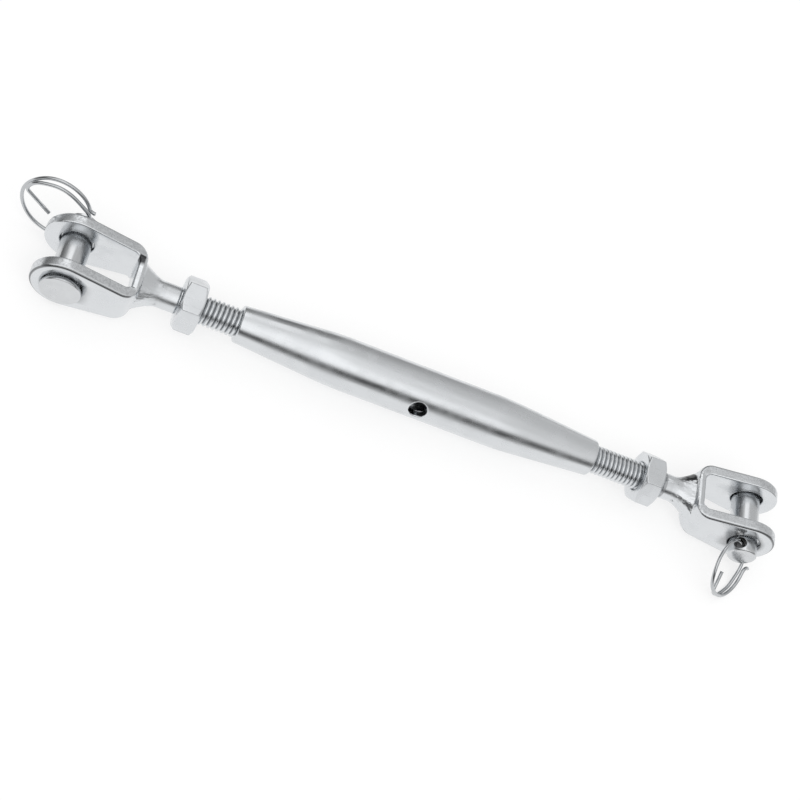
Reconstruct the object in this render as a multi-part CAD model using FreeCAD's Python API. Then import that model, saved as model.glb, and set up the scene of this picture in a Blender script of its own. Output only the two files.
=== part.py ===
import FreeCAD, Part
import math
import os

os.makedirs("parts", exist_ok=True)

# A closed-body rigging screw with a fork at each end, lying with its pins level.
# X runs along the screw from the left fork to the right fork, Y along both pins,
# Z up. The origin is the middle of the barrel, on its axis. All lengths in mm.

# ---- where the pieces sit along the axis
left_pin_x = -97.5
right_pin_x = 101.5

# ---- thread M8, left hand on the left stud and right hand on the right stud
stud_dia = 7.9
thread_clearance = 0.05
stud_tip_chamfer = 0.9

# ---- barrel: a tube swaged down at both ends and threaded there
barrel_len = 104.0
barrel_dia = 14.3
barrel_end_dia = 10.1
barrel_taper_slope = 0.0775
barrel_blend_radius = 116.0
barrel_wall = 2.1
barrel_rim_round = 0.45
barrel_mouth_chamfer = 0.5
tommy_hole_dia = 5.0
tommy_hole_rise_deg = 15.0
tommy_hole_round = 0.35

# ---- fork (jaw), measured from its pin centre towards the barrel
pin_hole_dia = 9.0
jaw_gap = 11.0
ear_thickness = 3.2
eye_radius = 8.5
ear_taper_deg = 10.5
outer_edge_round = 0.9
inner_edge_round = 0.4
hole_edge_chamfer = 0.3
fork_end = 18.2
fork_corner_radius = 4.2
throat_floor = 16.0
throat_corner_radius = 1.6
saddle_drop = 1.4
saddle_corner_radius = 2.8
neck_start = 16.5
neck_end = 24.0
neck_flare_width = 4.1
neck_flare_height = 0.4
neck_flare_flat = 3.4
neck_width_power = 1.54
neck_height_power = 1.5
neck_flat_power = 2.2
neck_section_count = 12
shank_dia = 7.2
shank_seam_deg = 6.0
thread_start = 27.8
thread_run_in = 0.65
shank_overlap = 0.6
stud_tip = 78.5
stud_shoulder = 0.3

# ---- lock nut
nut_across_flats = 13.4
nut_thickness = 5.8
nut_centre = 32.2
nut_corner_dia = 13.0
left_nut_turn_deg = 17.0
right_nut_turn_deg = 9.0
nut_chamfer_deg = 30.0
nut_mouth_chamfer = 0.5

# ---- clevis pin
pin_dia = 8.0
pin_head_dia = 10.8
pin_head_thickness = 1.2
pin_head_round = 0.3
pin_head_play = 0.1
pin_rest_gap = 0.03
pin_hole_from_middle = 10.3
pin_end_from_middle = 12.7
pin_end_chamfer = 0.35
ring_hole_dia = 3.4
left_ring_hole_deg = 70.6
right_ring_hole_deg = 129.3

# ---- split ring: one wire coiled once and a half round, one end turned in
# the outer run climbs onto the inner one between two angles from the hole and then
# closes up a little; the inner run closes up towards its bend
ring_wire_dia = 1.0
ring_seat_offset = 0.85
ring_turn_spacing = 1.12
ring_turn_points = 10
ring_climb_from_deg = 20.0
ring_climb_over_deg = 130.0
ring_tighten_from_deg = 150.0
ring_tighten_over_deg = 60.0
ring_outer_tightening = 0.35
ring_flare_deg = 9.0
ring_inner_points = 7
ring_inner_from_deg = 26.0
ring_inner_over_deg = 50.0
ring_inner_late_share = 0.7
ring_inner_late_deg = 70.0
ring_bend_radius = 1.5

left_ring_coil_radius = 9.35
left_ring_turn_deg = 312.0
left_ring_flare_out = 1.3
left_ring_inner_radius = 7.5
left_ring_slant_deg = 4.2
left_ring_swing_deg = -81.5
left_ring_bend_deg = -178.0
left_ring_tail_out = -0.1
left_ring_tail_along = 2.8

right_ring_coil_radius = 8.3
right_ring_turn_deg = 304.0
right_ring_flare_out = 2.3
right_ring_inner_radius = 7.25
right_ring_slant_deg = 9.0
right_ring_swing_deg = -30.0
right_ring_bend_deg = -150.0
right_ring_tail_out = -2.1
right_ring_tail_along = 0.5

smooth_cosine = 0.97

jaw_half_width = jaw_gap / 2 + ear_thickness
pin_drop = (pin_hole_dia - pin_dia) / 2 - pin_rest_gap
bore_radius = stud_dia / 2 + thread_clearance


def vec(x, y, z):
    """Short name for a point."""
    return FreeCAD.Vector(x, y, z)


def face_from_points(points, close=True):
    """Planar face from a list of points joined by straight edges."""
    loop = points + [points[0]] if close else points
    return Part.Face(Part.makePolygon(loop))


def revolve_about_x(points):
    """Solid of revolution about X from (x, r) pairs that form a closed loop."""
    face = face_from_points([vec(x, r, 0) for x, r in points])
    return face.revolve(vec(0, 0, 0), vec(1, 0, 0), 360)


def barrel_outer_radius(x):
    """Outer radius of the barrel: cylinder, long blend arc, then a cone."""
    body = barrel_dia / 2
    end = barrel_end_dia / 2
    corner = barrel_len / 2 - (body - end) / barrel_taper_slope
    angle = math.atan(barrel_taper_slope)
    tangent = barrel_blend_radius * math.tan(angle / 2)
    start = corner - tangent
    stop = corner + tangent * math.cos(angle)
    at = abs(x)
    if at <= start:
        return body
    if at >= stop:
        return end + barrel_taper_slope * (barrel_len / 2 - at)
    drop = barrel_blend_radius - math.sqrt(barrel_blend_radius ** 2 - (at - start) ** 2)
    return body - drop


def make_barrel():
    """One-piece barrel with its two threaded ends and the tommy bar hole."""
    half = barrel_len / 2
    body = barrel_dia / 2
    end = barrel_end_dia / 2
    corner = half - (body - end) / barrel_taper_slope
    angle = math.atan(barrel_taper_slope)
    tangent = barrel_blend_radius * math.tan(angle / 2)
    arc_start = corner - tangent
    arc_stop = corner + tangent * math.cos(angle)
    arc_mid = arc_start + barrel_blend_radius * math.sin(angle / 2)
    edges = []

    def half_profile(sign):
        a = vec(sign * half, end, 0)
        b = vec(sign * arc_stop, barrel_outer_radius(arc_stop), 0)
        m = vec(sign * arc_mid, barrel_outer_radius(arc_mid), 0)
        c = vec(sign * arc_start, body, 0)
        return a, b, m, c

    la, lb, lm, lc = half_profile(-1)
    ra, rb, rm, rc = half_profile(1)
    edges.append(Part.LineSegment(la, lb).toShape())
    edges.append(Part.Arc(lb, lm, lc).toShape())
    edges.append(Part.LineSegment(lc, rc).toShape())
    edges.append(Part.Arc(rc, rm, rb).toShape())
    edges.append(Part.LineSegment(rb, ra).toShape())
    edges.append(Part.LineSegment(ra, vec(half, 0, 0)).toShape())
    edges.append(Part.LineSegment(vec(half, 0, 0), vec(-half, 0, 0)).toShape())
    edges.append(Part.LineSegment(vec(-half, 0, 0), la).toShape())
    shell = Part.Face(Part.Wire(edges)).revolve(vec(0, 0, 0), vec(1, 0, 0), 360)
    rims = [e for e in shell.Edges
            if e.Length > 1 and abs(abs(e.BoundBox.XMin) - half) < 1e-6
            and e.BoundBox.XLength < 1e-6]
    shell = shell.makeFillet(barrel_rim_round, rims)

    # inside: a threaded bore at each end that opens out into the hollow middle
    hollow = body - barrel_wall
    open_at = corner + (body - barrel_wall - bore_radius) / barrel_taper_slope
    mouth = bore_radius + barrel_mouth_chamfer
    inside = [
        (-half - 1, 0), (-half - 1, mouth + 1), (-half, mouth),
        (-half + barrel_mouth_chamfer, bore_radius), (-open_at, bore_radius),
        (-corner, hollow), (corner, hollow), (open_at, bore_radius),
        (half - barrel_mouth_chamfer, bore_radius), (half, mouth),
        (half + 1, mouth + 1), (half + 1, 0),
    ]
    tube = shell.cut(revolve_about_x(inside))

    rise = math.radians(tommy_hole_rise_deg)
    along = vec(0, -math.cos(rise), math.sin(rise))
    drill = Part.makeCylinder(tommy_hole_dia / 2, 40, along * -20, along)
    tube = tube.cut(drill)
    lips = []
    for edge in tube.Edges:
        box = edge.BoundBox
        if box.XLength > tommy_hole_dia + 0.5 or box.XLength < tommy_hole_dia - 0.5:
            continue
        probe = edge.valueAt(edge.FirstParameter)
        if abs(probe.x) < tommy_hole_dia and math.hypot(probe.y, probe.z) > body - 0.3:
            lips.append(edge)
    return tube.makeFillet(tommy_hole_round, lips)


def side_half_height(u):
    """Half height of the fork's tapering side at a distance from the pin."""
    taper = math.radians(ear_taper_deg)
    return (eye_radius - u * math.sin(taper)) / math.cos(taper)


def rounded_section(u, half_w, half_h, corner):
    """Closed wire of eight edges: a rounded rectangle across the jaw at u."""
    w, h, r = half_w, half_h, corner
    k = r * (1 - math.sqrt(0.5))
    pts = [
        vec(u, w - r, h), vec(u, w - k, h - k), vec(u, w, h - r),
        vec(u, w, r - h), vec(u, w - k, k - h), vec(u, w - r, -h),
        vec(u, r - w, -h), vec(u, k - w, k - h), vec(u, -w, r - h),
        vec(u, -w, h - r), vec(u, k - w, h - k), vec(u, r - w, h),
    ]
    edges = []
    for i in range(4):
        a, m, b = pts[3 * i], pts[3 * i + 1], pts[3 * i + 2]
        nxt = pts[(3 * i + 3) % 12]
        edges.append(Part.Arc(a, m, b).toShape())
        edges.append(Part.LineSegment(b, nxt).toShape())
    return Part.Wire(edges)


def round_section(u, radius, flat_deg):
    """Circle across the jaw at u, split like rounded_section, flat_deg per flat arc."""
    edges = []
    for i in range(4):
        # a corner arc, then the short arc that faces the next flat, going clockwise
        start = 90 * (1 - i) - flat_deg / 2
        for first, last in ((start, start - 90 + flat_deg), (start - 90 + flat_deg, start - 90)):
            pts = []
            for deg in (first, (first + last) / 2, last):
                a = math.radians(deg)
                pts.append(vec(u, radius * math.cos(a), radius * math.sin(a)))
            edges.append(Part.Arc(*pts).toShape())
    return Part.Wire(edges)


def ease(t):
    """Smooth step from 0 to 1 with level ends."""
    t = max(0.0, min(1.0, t))
    return t * t * (3 - 2 * t)


def make_neck():
    """Flare from inside the fork's closed end down to the round shank."""
    shank = shank_dia / 2
    sections = []
    for i in range(neck_section_count):
        t = i / neck_section_count
        u = neck_start + t * (neck_end - neck_start)
        half_w = shank + neck_flare_width * (1 - t) ** neck_width_power
        half_h = shank + neck_flare_height * (1 - t) ** neck_height_power
        corner = half_h - neck_flare_flat * (1 - t) ** neck_flat_power
        sections.append(rounded_section(u, half_w, half_h, corner))
    sections.append(round_section(neck_end, shank, shank_seam_deg))
    return Part.makeLoft(sections, True, False)


def is_sharp(body, edge):
    """True where the two faces beside an edge don't run smoothly into each other."""
    middle = edge.valueAt((edge.FirstParameter + edge.LastParameter) / 2)
    normals = []
    for face in body.ancestorsOfType(edge, Part.Face):
        at = face.Surface.parameter(middle)
        normals.append(face.normalAt(at[0], at[1]))
    return len(normals) == 2 and normals[0].dot(normals[1]) < smooth_cosine


def make_block():
    """Fork block before its slot: side profile across the width, all outer edges rounded."""
    taper = math.radians(ear_taper_deg)
    touch_x = eye_radius * math.sin(taper)
    touch_z = eye_radius * math.cos(taper)
    h = side_half_height(fork_end)
    top = Part.LineSegment(vec(touch_x, 0, touch_z), vec(fork_end, 0, h)).toShape()
    end = Part.LineSegment(vec(fork_end, 0, h), vec(fork_end, 0, -h)).toShape()
    low = Part.LineSegment(vec(fork_end, 0, -h), vec(touch_x, 0, -touch_z)).toShape()
    eye = Part.Arc(vec(touch_x, 0, -touch_z), vec(-eye_radius, 0, 0),
                   vec(touch_x, 0, touch_z)).toShape()
    side = Part.Face(Part.Wire([top, end, low, eye]))
    side.translate(vec(0, -jaw_half_width, 0))
    block = side.extrude(vec(0, 2 * jaw_half_width, 0))

    uprights = [e for e in block.Edges
                if e.BoundBox.XLength < 1e-6 and abs(e.BoundBox.XMin - fork_end) < 1e-6
                and e.BoundBox.YLength < 1e-6]
    block = block.makeFillet(fork_corner_radius, uprights)
    rims = [e for e in block.Edges if is_sharp(block, e)]
    return block.makeFillet(outer_edge_round, rims)


def slot_with_round_corners(half_width, end, corner):
    """Face in a plane of X and Y: a slot from far left to end, its two inner corners round."""
    near = end - corner
    bulge = corner * math.sqrt(0.5)
    far = -4 * eye_radius
    g = half_width
    edges = [
        Part.LineSegment(vec(far, -g, 0), vec(near, -g, 0)).toShape(),
        Part.Arc(vec(near, -g, 0), vec(near + bulge, corner - g - bulge, 0),
                 vec(end, corner - g, 0)).toShape(),
        Part.LineSegment(vec(end, corner - g, 0), vec(end, g - corner, 0)).toShape(),
        Part.Arc(vec(end, g - corner, 0), vec(near + bulge, g - corner + bulge, 0),
                 vec(near, g, 0)).toShape(),
        Part.LineSegment(vec(near, g, 0), vec(far, g, 0)).toShape(),
        Part.LineSegment(vec(far, g, 0), vec(far, -g, 0)).toShape(),
    ]
    return Part.Face(Part.Wire(edges))


def make_saddle():
    """Cutter that lowers the closed end between the ears, its sides curving up to their rims."""
    g = jaw_gap / 2
    r = saddle_corner_radius
    top = 2 * eye_radius
    bulge = r * math.sqrt(0.5)
    edges = [
        Part.LineSegment(vec(0, -g, top), vec(0, -g, r)).toShape(),
        Part.Arc(vec(0, -g, r), vec(0, r - g - bulge, r - bulge), vec(0, r - g, 0)).toShape(),
        Part.LineSegment(vec(0, r - g, 0), vec(0, g - r, 0)).toShape(),
        Part.Arc(vec(0, g - r, 0), vec(0, g - r + bulge, r - bulge), vec(0, g, r)).toShape(),
        Part.LineSegment(vec(0, g, r), vec(0, g, top)).toShape(),
        Part.LineSegment(vec(0, g, top), vec(0, -g, top)).toShape(),
    ]
    cutter = Part.Face(Part.Wire(edges)).extrude(vec(2 * fork_end, 0, 0))
    cutter.rotate(vec(0, 0, 0), vec(0, 1, 0), ear_taper_deg)
    cutter.translate(vec(0, 0, side_half_height(0) - saddle_drop))
    return cutter


def make_jaw():
    """Fork, neck, shank and stud as one casting, pin centre at the origin, stud to +X."""
    g = jaw_gap / 2
    slot = slot_with_round_corners(g, throat_floor, throat_corner_radius)
    slot.translate(vec(0, 0, -2 * eye_radius))
    body = make_block().cut(slot.extrude(vec(0, 0, 4 * eye_radius)))
    saddle = make_saddle()
    body = body.cut(saddle)
    saddle.rotate(vec(0, 0, 0), vec(1, 0, 0), 180)
    body = body.cut(saddle)
    lips = []
    for edge in body.Edges:
        box = edge.BoundBox
        between_ears = box.YMin > -g - 1e-6 and box.YMax < g + 1e-6
        if between_ears and box.ZMin * box.ZMax > 0 and is_sharp(body, edge):
            lips.append(edge)
    body = body.makeFillet(inner_edge_round, lips)

    neck = make_neck()
    round_end = [f for f in neck.Faces
                 if f.BoundBox.XLength < 1e-6 and abs(f.BoundBox.XMin - neck_end) < 1e-6][0]
    shank = round_end.extrude(vec(thread_start + shank_overlap - neck_end, 0, 0))
    stud = revolve_about_x([
        (thread_start, 0), (thread_start, shank_dia / 2 - stud_shoulder),
        (thread_start + thread_run_in, stud_dia / 2), (stud_tip - stud_tip_chamfer, stud_dia / 2),
        (stud_tip, stud_dia / 2 - stud_tip_chamfer), (stud_tip, 0),
    ])
    body = body.fuse([neck, shank, stud]).removeSplitter()

    bore = Part.makeCylinder(pin_hole_dia / 2, 4 * jaw_half_width,
                             vec(0, -2 * jaw_half_width, 0), vec(0, 1, 0))
    body = body.cut(bore)
    for face_y, way in ((jaw_half_width, 1), (-jaw_half_width, -1), (g, -1), (-g, 1)):
        cone = Part.makeCone(pin_hole_dia / 2, pin_hole_dia / 2 + 2 * hole_edge_chamfer,
                             2 * hole_edge_chamfer,
                             vec(0, face_y - way * hole_edge_chamfer, 0), vec(0, way, 0))
        body = body.cut(cone)
    return body


def make_nut():
    """Hexagon nut centred on the origin, its bore along X, corners chamfered."""
    corner = nut_across_flats / math.sqrt(3)
    half = nut_thickness / 2
    points = []
    for i in range(6):
        a = math.radians(60 * i)
        points.append(vec(-half, corner * math.cos(a), corner * math.sin(a)))
    prism = face_from_points(points).extrude(vec(nut_thickness, 0, 0))
    slope = math.tan(math.radians(nut_chamfer_deg))
    reach = (corner + 1 - nut_corner_dia / 2) * slope
    turned = revolve_about_x([
        (-half, 0), (-half, nut_corner_dia / 2), (-half + reach, corner + 1),
        (half - reach, corner + 1), (half, nut_corner_dia / 2), (half, 0),
    ])
    over = nut_mouth_chamfer
    mouth = bore_radius + nut_mouth_chamfer + over
    bore = revolve_about_x([
        (-half - over, 0), (-half - over, mouth), (-half + nut_mouth_chamfer, bore_radius),
        (half - nut_mouth_chamfer, bore_radius), (half + over, mouth), (half + over, 0),
    ])
    return prism.common(turned).cut(bore)


def make_pin(ring_hole_deg, way):
    """Clevis pin about Y; the head is at -Y for way = 1 and at +Y for way = -1."""
    under_head = jaw_half_width + pin_head_play
    shank = Part.makeCylinder(pin_dia / 2, under_head + pin_end_from_middle,
                              vec(0, -under_head, 0), vec(0, 1, 0))
    tips = [e for e in shank.Edges if abs(e.BoundBox.YMin - pin_end_from_middle) < 1e-6]
    shank = shank.makeChamfer(pin_end_chamfer, tips)
    head = Part.makeCylinder(pin_head_dia / 2, pin_head_thickness,
                             vec(0, -under_head - pin_head_thickness, 0), vec(0, 1, 0))
    crown = [e for e in head.Edges
             if abs(e.BoundBox.YMax + under_head + pin_head_thickness) < 1e-6]
    head = head.makeFillet(pin_head_round, crown)
    pin = shank.fuse(head).removeSplitter()
    if way < 0:
        pin.rotate(vec(0, 0, 0), vec(0, 0, 1), 180)
    a = math.radians(ring_hole_deg)
    along = vec(math.cos(a), 0, math.sin(a))
    middle = vec(0, way * pin_hole_from_middle, 0)
    drill = Part.makeCylinder(ring_hole_dia / 2, 3 * pin_dia,
                              middle - along * (1.5 * pin_dia), along)
    return pin.cut(drill)


def ring_frame(hole_deg, way, leave, slant_deg, swing_deg):
    """Directions of a ring at rest.

    hole_deg is the slope of the pin's cross hole, way the side the pin points to,
    leave which end of the hole the wire leaves by, slant_deg how far the wire leans
    in the hole, and swing_deg how far the ring has swung about it. Returns the
    along-wire, to-centre and stacking axes.
    """
    a = math.radians(hole_deg)
    slant = -math.radians(slant_deg)
    swing = math.radians(swing_deg)
    hole = vec(math.cos(a), 0, math.sin(a)) * leave
    out = vec(0, way, 0)
    along = hole * math.cos(slant) + out * math.sin(slant)
    out_s = out * math.cos(slant) - hole * math.sin(slant)
    centre = out_s * math.cos(swing) + along.cross(out_s) * math.sin(swing)
    return along, centre, along.cross(centre)


def tangent_arc(start, direction, end):
    """Arc that leaves start along direction and reaches end, and its end direction."""
    chord = end - start
    reach = chord.Length
    unit = chord * (1 / reach)
    lean = direction.dot(unit)
    leave = unit * (2 * lean) - direction
    side = direction - unit * lean
    if side.Length < 1e-6:
        return Part.LineSegment(start, end).toShape(), leave
    half_turn = math.acos(min(1.0, lean))
    rise = reach / 2 * math.tan(half_turn / 2)
    crest = (start + end) * 0.5 + side * (rise / side.Length)
    return Part.Arc(start, crest, end).toShape(), leave


def run_of_arcs(points, direction):
    """Edges that pass through the points, each arc tangent to the one before it."""
    edges = []
    for start, end in zip(points, points[1:]):
        edge, direction = tangent_arc(start, direction, end)
        edges.append(edge)
    return edges, direction


def make_ring(axes, coil_radius, turn_deg, flare_out, inner_radius, bend_deg, tail_out, tail_along):
    """Split ring threaded through a pin whose cross hole is centred on the origin.

    axes come from ring_frame. Polar angle runs from the hole, along the wire. The
    outer run ends at turn_deg and then springs out by flare_out.
    inner_radius is the radius of the inner run half way between the bend and the
    hole, bend_deg where that run ends, and tail_out and tail_along where the
    turned-in end stops, away from the hole and along the wire from the coil's middle.
    """
    along, centre, stack = axes
    middle = centre * (coil_radius - ring_seat_offset)

    def place(radius, deg, lift):
        a = math.radians(deg)
        flat = centre * (-radius * math.cos(a)) + along * (radius * math.sin(a))
        return middle + flat + stack * lift

    # outward from the hole: one turn that climbs onto the inner run, then the flare
    outer = []
    for i in range(ring_turn_points + 1):
        deg = turn_deg * i / ring_turn_points
        lift = ring_turn_spacing * ease((deg - ring_climb_from_deg) / ring_climb_over_deg)
        closed = ease((deg - ring_tighten_from_deg) / ring_tighten_over_deg)
        outer.append(place(coil_radius - ring_outer_tightening * closed, deg, lift))
    outer_edges, end_way = run_of_arcs(outer, along)
    flare = place(coil_radius - ring_outer_tightening + flare_out,
                  turn_deg + ring_flare_deg, ring_turn_spacing)
    outer_edges.append(tangent_arc(outer[-1], end_way, flare)[0])

    # back from the hole: the inner run, then a tight bend and the straight tail
    inner = []
    for i in range(ring_inner_points + 1):
        deg = bend_deg * i / ring_inner_points
        early = ease((abs(deg) - ring_inner_from_deg) / ring_inner_over_deg)
        late = ease((abs(bend_deg) - abs(deg)) / ring_inner_late_deg)
        pull = early * (1 - ring_inner_late_share * (1 - late))
        inner.append(place(coil_radius - (coil_radius - inner_radius) * pull, deg, 0.0))
    inner_edges, inner_way = run_of_arcs(inner, along * -1)
    tip = middle - centre * tail_out + along * tail_along
    inward = stack.cross(inner_way) * -1
    pivot = inner[-1] + inward * ring_bend_radius
    to_tip = tip - pivot
    swing = math.acos(ring_bend_radius / to_tip.Length)
    unit = to_tip * (1 / to_tip.Length)
    touch = pivot + (unit * math.cos(swing) + unit.cross(stack) * -math.sin(swing)) * ring_bend_radius
    inner_edges.append(tangent_arc(inner[-1], inner_way, touch)[0])
    inner_edges.append(Part.LineSegment(touch, tip).toShape())

    edges = [e for e in reversed(inner_edges)] + outer_edges
    path = Part.Wire(edges)
    section = Part.Wire([Part.Circle(tip, (touch - tip).normalize(), ring_wire_dia / 2).toShape()])
    return path.makePipeShell([section], True, False)


def export(shape, name):
    """Write one node as one solid."""
    solids = shape.Solids
    if len(solids) != 1:
        raise ValueError("%s has %d solids" % (name, len(solids)))
    solids[0].exportStep("parts/%s.step" % name)


barrel = make_barrel()

left_jaw = make_jaw()
right_jaw = left_jaw.copy()
left_jaw.translate(vec(left_pin_x, 0, 0))
right_jaw.rotate(vec(0, 0, 0), vec(0, 0, 1), 180)
right_jaw.translate(vec(right_pin_x, 0, 0))

left_nut = make_nut()
left_nut.rotate(vec(0, 0, 0), vec(1, 0, 0), left_nut_turn_deg)
right_nut = make_nut()
right_nut.rotate(vec(0, 0, 0), vec(1, 0, 0), right_nut_turn_deg)
left_nut.translate(vec(left_pin_x + nut_centre, 0, 0))
right_nut.translate(vec(right_pin_x - nut_centre, 0, 0))

left_pin = make_pin(left_ring_hole_deg, 1)
right_pin = make_pin(right_ring_hole_deg, -1)
left_pin.translate(vec(left_pin_x, 0, -pin_drop))
right_pin.translate(vec(right_pin_x, 0, -pin_drop))

left_axes = ring_frame(left_ring_hole_deg, 1, -1, left_ring_slant_deg, left_ring_swing_deg)
left_ring = make_ring(left_axes, left_ring_coil_radius, left_ring_turn_deg, left_ring_flare_out,
                      left_ring_inner_radius, left_ring_bend_deg, left_ring_tail_out,
                      left_ring_tail_along)
right_axes = ring_frame(right_ring_hole_deg, -1, 1, right_ring_slant_deg, right_ring_swing_deg)
right_ring = make_ring(right_axes, right_ring_coil_radius, right_ring_turn_deg,
                       right_ring_flare_out, right_ring_inner_radius, right_ring_bend_deg,
                       right_ring_tail_out, right_ring_tail_along)
left_ring.translate(vec(left_pin_x, pin_hole_from_middle, -pin_drop))
right_ring.translate(vec(right_pin_x, -pin_hole_from_middle, -pin_drop))

export(barrel, "barrel")
export(left_jaw, "left_jaw")
export(right_jaw, "right_jaw")
export(left_nut, "left_lock_nut")
export(right_nut, "right_lock_nut")
export(left_pin, "left_clevis_pin")
export(right_pin, "right_clevis_pin")
export(left_ring, "left_split_ring")
export(right_ring, "right_split_ring")
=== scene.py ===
import logging
import math
from collections.abc import Iterator
from contextlib import contextmanager
from dataclasses import dataclass, field
from enum import Enum

import bmesh
import bpy
import numpy as np
from mathutils import Matrix, Vector


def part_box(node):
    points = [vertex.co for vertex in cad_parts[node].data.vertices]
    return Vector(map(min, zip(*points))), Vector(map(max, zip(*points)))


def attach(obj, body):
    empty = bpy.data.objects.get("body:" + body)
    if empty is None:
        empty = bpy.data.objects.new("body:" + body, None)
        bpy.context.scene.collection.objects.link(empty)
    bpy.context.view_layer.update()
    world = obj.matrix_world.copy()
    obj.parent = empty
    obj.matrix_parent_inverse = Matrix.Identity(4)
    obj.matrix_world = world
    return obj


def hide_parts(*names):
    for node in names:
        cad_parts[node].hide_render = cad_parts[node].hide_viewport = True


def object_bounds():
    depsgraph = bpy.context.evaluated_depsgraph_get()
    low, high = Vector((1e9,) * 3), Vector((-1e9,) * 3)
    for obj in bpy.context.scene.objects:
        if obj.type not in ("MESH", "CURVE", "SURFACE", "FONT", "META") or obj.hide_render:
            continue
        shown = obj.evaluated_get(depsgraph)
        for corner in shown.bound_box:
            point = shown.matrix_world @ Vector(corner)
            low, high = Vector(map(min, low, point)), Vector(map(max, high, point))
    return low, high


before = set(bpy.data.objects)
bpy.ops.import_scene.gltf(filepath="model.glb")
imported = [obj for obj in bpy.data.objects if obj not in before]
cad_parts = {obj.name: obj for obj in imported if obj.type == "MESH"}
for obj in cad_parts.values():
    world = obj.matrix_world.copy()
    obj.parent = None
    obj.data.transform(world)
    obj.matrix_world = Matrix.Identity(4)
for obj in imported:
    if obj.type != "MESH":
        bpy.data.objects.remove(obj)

CAD_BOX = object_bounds()
MM = 0.001
# metres within which vertices are made one, in new pieces and in packed ones
WELD = 1e-7
CAD_WELD = 1e-6
LOG = logging.getLogger("rigging_screw")

Pair = tuple[float, float]
Triple = tuple[float, float, float]
Curve = tuple[Pair, ...]
Socket = bpy.types.NodeSocket


class Side(Enum):
    """The two ends of the screw, by the sign of X where they lie."""

    LEFT = -1
    RIGHT = 1

    @property
    def word(self) -> str:
        """The side's name as node names begin."""
        return self.name.lower()

    @property
    def inward(self) -> int:
        """The direction along X from this end's pin to the barrel."""
        return -self.value


# each pin's X in millimetres
PIN_X = {Side.LEFT: -97.5, Side.RIGHT: 101.5}


class Grain(Enum):
    """Which way the polishing wheel left its lines, as stretch factors on X, Y and Z."""

    LENGTHWISE = (0.06, 1.0, 1.0)
    ALONG_PIN = (1.0, 0.06, 1.0)
    EVEN = (0.55, 0.55, 0.55)


# Mesh building


def linked(name: str, data: bpy.types.ID) -> bpy.types.Object:
    """A new object at the origin that holds some data, linked to the scene."""
    thing = bpy.data.objects.new(name, data)
    bpy.context.scene.collection.objects.link(thing)
    return thing


@contextmanager
def mesh_edit(mesh: bpy.types.Mesh) -> Iterator[bmesh.types.BMesh]:
    """A bmesh of a mesh, which is written back and freed at the end."""
    work = bmesh.new()
    work.from_mesh(mesh)
    yield work
    work.to_mesh(mesh)
    work.free()


def shade_smooth(mesh: bpy.types.Mesh) -> None:
    """Shade every face of a mesh smooth."""
    mesh.polygons.foreach_set("use_smooth", np.ones(len(mesh.polygons), dtype=bool))
    mesh.update()


def grid_quads(rows: int, cols: int, wrap_rows: bool = False, wrap_cols: bool = True) -> np.ndarray:
    """Quads of a grid whose vertex (r, c) has the number r * cols + c.

    Args:
        rows: number of vertex rows.
        cols: number of vertex columns.
        wrap_rows: whether the last row joins the first.
        wrap_cols: whether the last column joins the first.

    Returns:
        An array of shape (rows', cols', 4) of vertex numbers.
    """
    r = np.arange(rows if wrap_rows else rows - 1)
    c = np.arange(cols if wrap_cols else cols - 1)
    a, b = np.meshgrid(r, c, indexing="ij")
    a_next = (a + 1) % rows
    b_next = (b + 1) % cols
    return np.stack([a * cols + b, a * cols + b_next, a_next * cols + b_next, a_next * cols + b], axis=-1)


def make_piece(name: str, points: np.ndarray, quads: np.ndarray) -> bpy.types.Object:
    """A smooth-shaded mesh object at the origin.

    Vertices closer than WELD are made one, which closes poles and clipped ends.

    Args:
        name: the object's name.
        points: vertex positions in metres, shape (n, 3).
        quads: vertex numbers, shape (m, 4).

    Returns:
        The linked object.
    """
    used, quads = np.unique(quads.reshape(-1, 4), return_inverse=True)
    mesh = bpy.data.meshes.new(name)
    mesh.from_pydata(points[used].tolist(), [], quads.reshape(-1, 4).tolist())
    with mesh_edit(mesh) as work:
        bmesh.ops.remove_doubles(work, verts=work.verts, dist=WELD)
        bmesh.ops.dissolve_degenerate(work, edges=work.edges, dist=WELD)
    shade_smooth(mesh)
    return linked(name, mesh)


def merged_copy(node: str, name: str) -> bpy.types.Object:
    """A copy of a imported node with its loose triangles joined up, for smooth shading."""
    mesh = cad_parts[node].data.copy()
    mesh.name = name
    with mesh_edit(mesh) as work:
        bmesh.ops.remove_doubles(work, verts=work.verts, dist=CAD_WELD)
    shade_smooth(mesh)
    return linked(name, mesh)


def smooth_step(t: np.ndarray) -> np.ndarray:
    """Cubic step from 0 to 1 with level ends."""
    t = np.clip(t, 0.0, 1.0)
    return t * t * (3.0 - 2.0 * t)


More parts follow.
